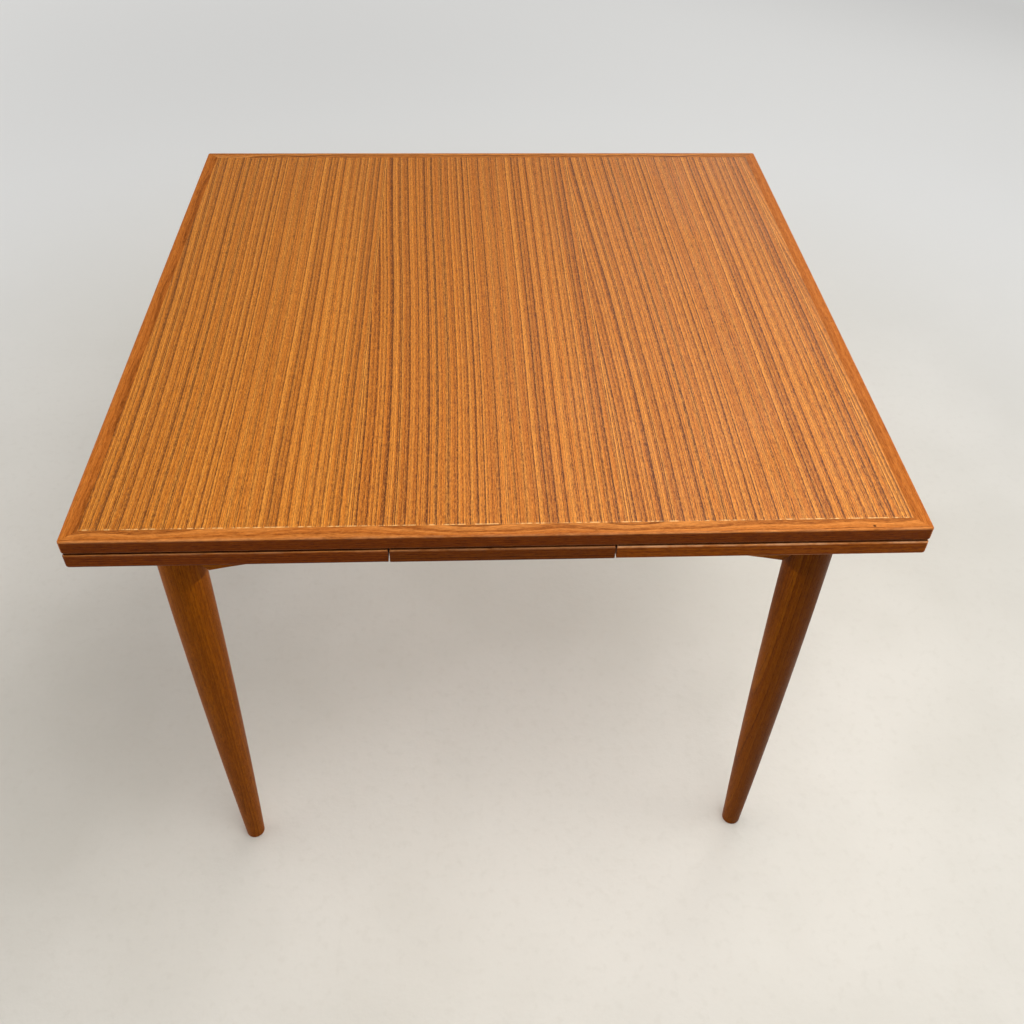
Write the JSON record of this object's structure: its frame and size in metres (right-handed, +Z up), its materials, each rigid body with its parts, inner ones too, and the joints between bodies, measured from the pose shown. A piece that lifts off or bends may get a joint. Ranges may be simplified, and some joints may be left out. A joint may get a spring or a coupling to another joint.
{
  "type": "draw leaf table",
  "caption": "Square teak table on round tapered legs; leaves under the loose top pull out left and right, rising on sloped bearers to extend it.",
  "frame": {"origin": "on the floor under the middle of the square top", "axes": "+Z up; +X to the right, the way the right leaf draws out; -Y is the front"},
  "size_m": [0.9, 0.9, 0.72],
  "materials": {
    "top_veneer": "oiled teak veneer, grain front to back",
    "top_lipping": "oiled solid teak",
    "leaf_veneer": "oiled teak veneer",
    "leaf_lipping": "oiled solid teak",
    "centre_veneer": "oiled teak veneer",
    "centre_lipping": "oiled solid teak",
    "apron": "oiled solid teak",
    "leg": "oiled solid teak, turned",
    "inner_beech": "plain planed beech",
    "bearer": "planed teak",
    "dowel": "beech dowel",
    "steel": "plain steel",
    "screw_brass": "plain brass",
    "felt": "green felt"
  },
  "bodies": {
    "frame": {"apron_back": "apron", "apron_front": "apron", "apron_left": "apron", "apron_right": "apron", "bolt_nuts": "steel", "bolt_washers": "steel", "centre_board_lipping_back": "centre_lipping", "centre_board_lipping_front": "centre_lipping", "centre_board_lipping_left": "centre_lipping", "centre_board_lipping_right": "centre_lipping", "centre_board_panel": "centre_veneer", "centre_board_screws": "screw_brass", "corner_block_back_left": "inner_beech", "corner_block_back_right": "inner_beech", "corner_block_front_left": "inner_beech", "corner_block_front_right": "inner_beech", "cross_rail_left": "inner_beech", "cross_rail_right": "inner_beech", "felt_strips": "felt", "hanger_bolts": "steel", "leg_back_left": "leg", "leg_back_right": "leg", "leg_front_left": "leg", "leg_front_right": "leg"},
    "left_leaf": {"left_bearer_back": "bearer", "left_bearer_front": "bearer", "left_leaf_lipping_back": "leaf_lipping", "left_leaf_lipping_front": "leaf_lipping", "left_leaf_lipping_left": "leaf_lipping", "left_leaf_lipping_right": "leaf_lipping", "left_leaf_panel": "leaf_veneer", "left_leaf_screws": "screw_brass"},
    "right_leaf": {"right_bearer_back": "bearer", "right_bearer_front": "bearer", "right_leaf_lipping_back": "leaf_lipping", "right_leaf_lipping_front": "leaf_lipping", "right_leaf_lipping_left": "leaf_lipping", "right_leaf_lipping_right": "leaf_lipping", "right_leaf_panel": "leaf_veneer", "right_leaf_screws": "screw_brass"},
    "guide_dowels": {"guide_dowels": "dowel"},
    "top": {"top_lipping_back": "top_lipping", "top_lipping_front": "top_lipping", "top_lipping_left": "top_lipping", "top_lipping_right": "top_lipping", "top_panel": "top_veneer"}
  },
  "joints": [
    {"name": "left_leaf_slide", "type": "slide", "parent": "frame", "child": "left_leaf", "axis": [-0.9984, 0, 0.0565], "range_m": [0, 0.3328]},
    {"name": "right_leaf_slide", "type": "slide", "parent": "frame", "child": "right_leaf", "axis": [0.9984, 0, 0.0565], "range_m": [0, 0.3328]},
    {"name": "top_tilt_left", "type": "hinge", "parent": "frame", "child": "guide_dowels", "pos_m": [0.45, 0, 0.703], "axis": [0, 1, 0], "range_deg": [0, 1.23]},
    {"name": "top_tilt_right", "type": "hinge", "parent": "guide_dowels", "child": "top", "pos_m": [-0.45, 0, 0.703], "axis": [0, -1, 0], "range_deg": [0, 1.23]}
  ],
  "couplings": [
    {"joint": "top_tilt_left", "follows": "left_leaf_slide", "rad_per_m": 0.0645},
    {"joint": "top_tilt_right", "follows": "right_leaf_slide", "rad_per_m": 0.0645}
  ]
}
